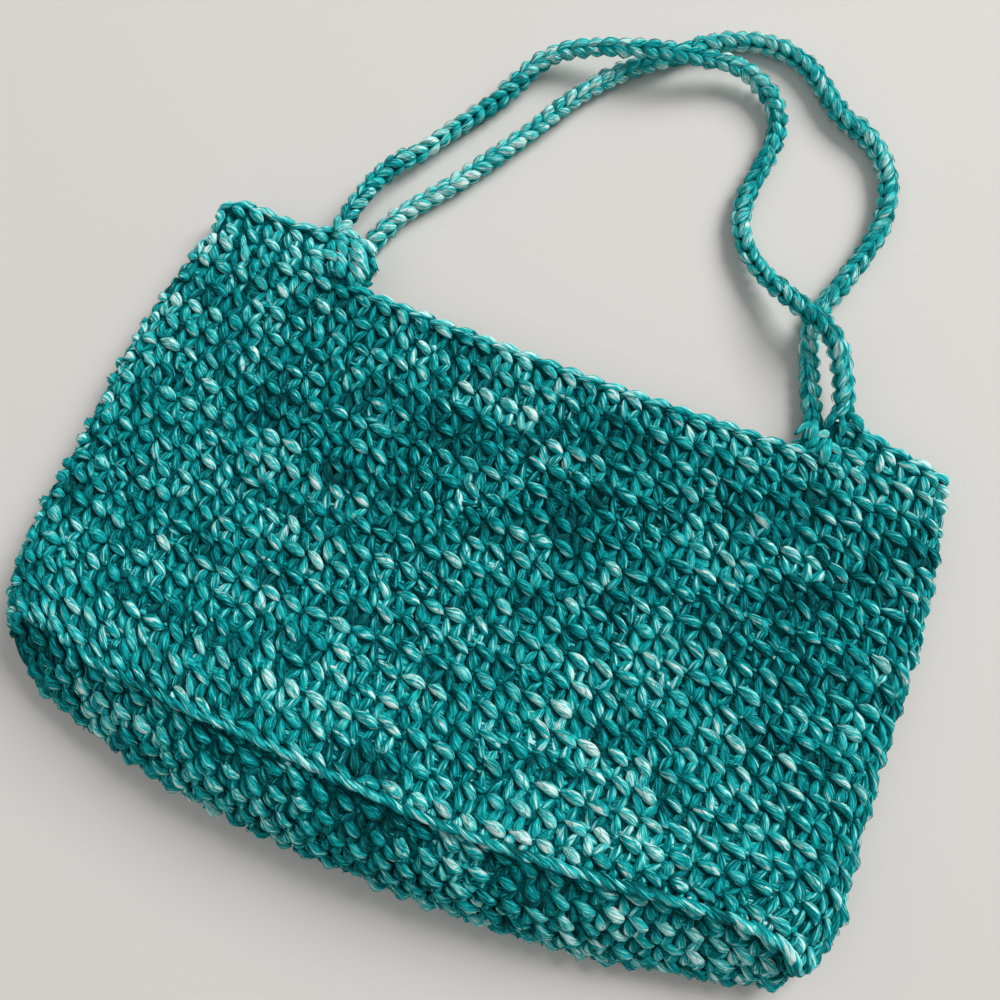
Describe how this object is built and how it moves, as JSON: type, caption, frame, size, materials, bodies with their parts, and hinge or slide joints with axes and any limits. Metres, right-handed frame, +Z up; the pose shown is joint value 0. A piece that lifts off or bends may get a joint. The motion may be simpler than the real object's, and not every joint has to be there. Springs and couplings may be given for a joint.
{
  "type": "crochet handbag",
  "caption": "Small flat crocheted handbag with a broad base, an open mouth, raised side bands and two thin corded straps, lying on its back.",
  "frame": {"origin": "middle of the box of the bag without its straps, on the surface that it lies on", "axes": "+X across the bag along its mouth, +Y from the base to the mouth, +Z up from the back layer to the front one"},
  "size_m": [0.2458, 0.2818, 0.0291],
  "materials": {
    "yarn_body": "single crochet in a chunky cotton-blend yarn, teal flecked with pale aqua",
    "yarn_edge": "crocheted chain and last rounds in a lighter aqua stretch of the same yarn",
    "yarn_strap": "crocheted cord in pale aqua and mint yarn"
  },
  "bodies": {
    "root": {"bag_body": "yarn_body", "base_ridge": "yarn_edge", "side_band_left": "yarn_edge", "side_band_right": "yarn_edge", "strap_front": "yarn_strap", "strap_back": "yarn_strap"}
  },
  "joints": []
}
